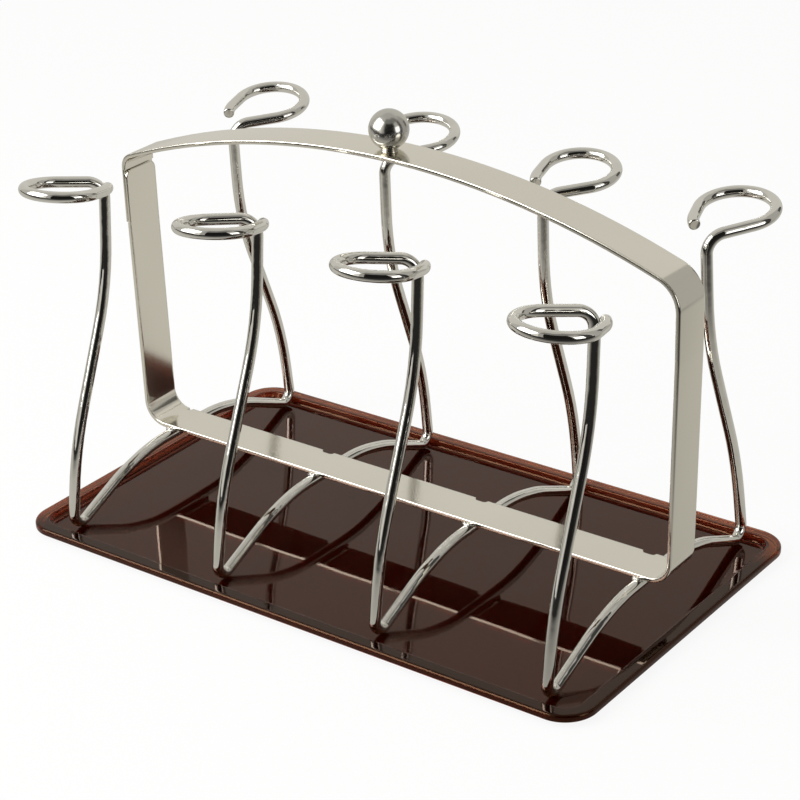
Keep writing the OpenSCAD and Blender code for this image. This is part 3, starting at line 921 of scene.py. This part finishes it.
def weld_metal():
    """Plated weld bead: rough and lumpy, darker in its hollows."""
    s = Shader("weld_metal")
    colour = settings().finish.weld
    lumps = s.noise(900.0, 3.0, 0.6)
    return s.surface(
        Base_Color=s.mix(lumps.ramp(0.35, 0.6), rgba(colour, 0.45), rgba(colour)),
        Metallic=1.0,
        Roughness=0.16 + 0.22 * lumps,
        Normal=s.bump(lumps, 0.7, 0.0005))


def screw_steel():
    """Machine screw: plain steel with turned marks."""
    s = Shader("screw_steel")
    marks = s.noise(1.0, 2.0, stretch=(200.0, 200.0, 2500.0))
    return s.surface(
        Base_Color=s.mix(marks, (0.42, 0.41, 0.39, 1), (0.56, 0.55, 0.52, 1)),
        Metallic=1.0, Roughness=0.28 + 0.12 * marks)


def smoky_plastic():
    """Smoky brown plastic: near black where it lies flat, and red in its wall.

    Its rim is painted orange on the left and at the back, as if lit from behind
    there, and painted near black as shade on the other two sides.
    """
    s = Shader("smoky_plastic")
    f = settings().finish
    thin = s.node("ShaderNodeAttribute", {"attribute_name": "tone"})["Fac"]
    cloud = s.noise(9.0, 2.0)
    wave = s.noise(18.0, 1.0)
    specks = s.noise(700.0, 2.0).ramp(0.72, 0.8)
    body = s.mix(thin.ramp(0.05, 0.5), rgba(f.plastic), rgba(f.plastic_wall))
    # Painted light: a direction in object coordinates picks out the rim's left and back, which are
    # painted as lit from behind
    lit = s.measure("DOT_PRODUCT", (-6, 12, 0)).ramp(-0.2, 0.0)
    rim = thin.ramp(0.5, 0.98)
    orange = (rim * (0.8 + 0.3 * cloud) * lit).at_most(1.0).at_least(0.0)
    body = s.mix(orange, body, rgba(f.plastic_rim))
    # Painted shade: the rim on the front and right is painted near black
    body = s.mix(rim * (1 - lit), body, rgba(f.plastic, 0.2))
    return s.surface(
        Base_Color=body,
        Roughness=0.02 + 0.03 * cloud + 0.1 * specks,
        IOR=1.46,
        Transmission_Weight=0.94,
        Specular_Tint=rgba(f.plastic_gloss),
        Normal=s.bump(wave, 0.25, 0.0008))


# ---------------------------------------------------- stage

# Points along each side of a studio card, the floor's half width and its depth under
# the feet, and the middle of the pale table
CARD_POINTS = 12
FLOOR_REACH, FLOOR_DROP = 12.0, 0.3 * MM
TABLE_MIDDLE = (-0.7, 0.75, 0)


def stage_sheet(name, points, faces, material):
    """A sheet for the floor or a studio card, not attached to the rack."""
    mesh = bpy.data.meshes.new(name)
    mesh.from_pydata(points, [], faces)
    mesh.materials.append(material)
    made = placed(name, mesh)
    return made


def pale_floor():
    """White floor that keeps a soft shadow.

    The gloss sees the studio's pale table instead, dark towards the camera.
    """
    s = Shader("pale_floor")
    stage = settings().stage
    path = s.node("ShaderNodeLightPath")
    lit = s.node("ShaderNodeBsdfDiffuse", {}, {"Color": (0.8, 0.8, 0.8, 1)})[0]
    seen = s.blend(path["Is Camera Ray"], lit, s.blend(0.9, lit, s.glow((1, 1, 1))))
    far = s.measure("DISTANCE", TABLE_MIDDLE)
    studio = s.blend(far.ramp(1.0, 1.44), s.glow(stage.table), s.glow(stage.unlit))
    mirrored = path["Is Glossy Ray"] * (1 - path["Is Transmission Ray"])
    return s.finish(s.blend(mirrored, seen, studio))


def studio_world():
    """White behind the object; all else sees the studio's pale colour."""
    s = Shader("studio", world=True)
    white = s.node("ShaderNodeLightPath")["Is Camera Ray"]
    colour = s.mix(white, rgba(settings().stage.studio), (1, 1, 1, 1))
    s.finish(s.node("ShaderNodeBackground", {}, {"Color": colour, "Strength": 1.0})[0])


def studio_card(name, azimuths, elevations, brightness, radius):
    """A card that only the gloss shows: part of a sphere about the studio's middle.

    p = middle + radius (cos u sin a, -cos u cos a, sin u), with the azimuth a
    counted to the right from the front.
    """
    angles = [np.radians(np.linspace(*span, CARD_POINTS)) for span in (azimuths, elevations)]
    a, u = np.meshgrid(*angles, indexing="ij")
    way = np.stack([np.cos(u) * np.sin(a), -np.cos(u) * np.cos(a), np.sin(u)], axis=-1)
    points = (radius * way + STUDIO_MIDDLE).reshape(-1, 3)
    i = np.arange(len(points)).reshape(CARD_POINTS, CARD_POINTS)
    quads = np.stack([i[:-1, :-1], i[1:, :-1], i[1:, 1:], i[:-1, 1:]], axis=-1).reshape(-1, 4)
    s, studio = Shader(name), np.array(settings().stage.studio)
    shine = s.finish(s.glow(studio / studio[0], brightness))
    made = stage_sheet(name, points, quads.tolist(), shine)
    made.visible_camera = made.visible_diffuse = made.visible_shadow = False
    made.visible_transmission = made.visible_volume_scatter = False


def soft_lamp(name, place, size, power, in_gloss):
    """A rectangular lamp at place, turned to LAMP_AIM."""
    lamp = bpy.data.lights.new(name, "AREA")
    lamp.shape = "RECTANGLE"
    lamp.size, lamp.size_y = size
    lamp.energy = power
    made = placed(name, lamp)
    made.location = place
    made.rotation_euler = (Vector(LAMP_AIM) - Vector(place)).to_track_quat("-Z", "Y").to_euler()
    made.visible_camera = False
    made.visible_glossy = in_gloss


def place_camera():
    """Camera on the sphere about its aim point, turned about its own axis by its roll."""
    s = settings().stage
    back = Vector((
        math.sin(s.azimuth) * math.cos(s.elevation), -math.cos(s.azimuth) * math.cos(s.elevation),
        math.sin(s.elevation)))
    right = Vector((0, 0, 1)).cross(back).normalized()
    up = back.cross(right)
    c, k = math.cos(s.roll), math.sin(s.roll)
    right, up = c * right + k * up, c * up - k * right
    data = bpy.data.cameras.new("camera")
    data.lens, data.sensor_width = s.lens, 36.0
    data.shift_x, data.shift_y = s.shift
    camera = placed("camera", data)
    turn = Matrix((right, up, back)).transposed().to_4x4()
    camera.matrix_world = Matrix.Translation(Vector(s.aim) + s.distance * back) @ turn
    bpy.context.scene.camera = camera


# ------------------------------------------------ operators

def dress(node, material):
    """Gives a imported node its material."""
    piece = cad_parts[node]
    piece.data.materials.clear()
    piece.data.materials.append(material)


class RackTray(bpy.types.Operator):
    """Builds the drip tray"""
    bl_idname = "mug_rack.tray"
    bl_label = "Drip tray"

    def execute(self, context):
        build_tray(smoky_plastic())
        return {"FINISHED"}


class RackWires(bpy.types.Operator):
    """Builds the four bent wires"""
    bl_idname = "mug_rack.wires"
    bl_label = "Wires and hooks"

    def execute(self, context):
        plating = bright_plating()
        for index in range(len(WIRE_SETS)):
            build_wire(index, plating)
        return {"FINISHED"}


class RackStrip(bpy.types.Operator):
    """Builds the flat strip frame and finishes the spot welds in its lap"""
    bl_idname = "mug_rack.strip"
    bl_label = "Strip frame"

    def execute(self, context):
        build_strip(satin_strip())
        dress("lap_welds", weld_metal())
        return {"FINISHED"}


class RackKnob(bpy.types.Operator):
    """Builds the ball knob and finishes its screw"""
    bl_idname = "mug_rack.knob"
    bl_label = "Ball knob"

    def execute(self, context):
        build_ball(ball_plating())
        dress("knob_screw", screw_steel())
        return {"FINISHED"}


class RackWelds(bpy.types.Operator):
    """Builds the weld beads where the wires cross under the bar"""
    bl_idname = "mug_rack.welds"
    bl_label = "Weld beads"

    def execute(self, context):
        metal = weld_metal()
        for index in range(len(WIRE_SETS)):
            for side in (FRONT, BACK):
                build_weld(index, side, metal)
        return {"FINISHED"}


class RackStage(bpy.types.Operator):
    """Sets up the floor, the studio, the lamps and the camera"""
    bl_idname = "mug_rack.stage"
    bl_label = "Stage"

    def execute(self, context):
        far, low = FLOOR_REACH, -FLOOR_DROP
        corners = [(-far, -far, low), (far, -far, low), (far, far, low), (-far, far, low)]
        stage_sheet("floor", corners, [(0, 1, 2, 3)], pale_floor())
        studio_world()
        for card in STUDIO_CARDS:
            studio_card(*card)
        for lamp in LAMPS:
            soft_lamp(*lamp)
        bpy.context.scene.view_settings.view_transform = "Standard"
        place_camera()
        return {"FINISHED"}


class RackPanel(bpy.types.Panel):
    """Sizes, colours and pieces of the rack"""
    bl_idname = "VIEW3D_PT_mug_rack"
    bl_label = "Mug rack"
    bl_space_type = "VIEW_3D"
    bl_region_type = "UI"
    bl_category = "Mug rack"

    def draw(self, context):
        rack = context.scene.mug_rack
        for group in ("strip", "wire", "hook", "knob", "weld", "tray", "finish", "stage"):
            box = self.layout.box()
            box.label(text=group.capitalize())
            part = getattr(rack, group)
            for key in part.bl_rna.properties.keys():
                if key not in {"rna_type", "name"}:
                    box.prop(part, key)
        for operator in OPERATORS:
            self.layout.operator(operator.bl_idname)


GROUPS = (
    StripSizes, WireSizes, HookSizes, KnobSizes, WeldSizes, TraySizes, Finishes, StageSettings,
    RackSettings)
OPERATORS = (RackTray, RackWires, RackStrip, RackKnob, RackWelds, RackStage)
CLASSES = GROUPS + OPERATORS + (RackPanel,)


def register():
    """Registers the classes and the settings."""
    for item in CLASSES:
        bpy.utils.register_class(item)
    bpy.types.Scene.mug_rack = PointerProperty(type=RackSettings)


def unregister():
    """Takes them out again."""
    del bpy.types.Scene.mug_rack
    for item in reversed(CLASSES):
        bpy.utils.unregister_class(item)


def main():
    """Builds everything."""
    register()
    bpy.ops.mug_rack.tray()
    bpy.ops.mug_rack.wires()
    bpy.ops.mug_rack.strip()
    bpy.ops.mug_rack.knob()
    bpy.ops.mug_rack.welds()
    bpy.ops.mug_rack.stage()
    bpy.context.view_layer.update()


if __name__ == "__main__":
    main()
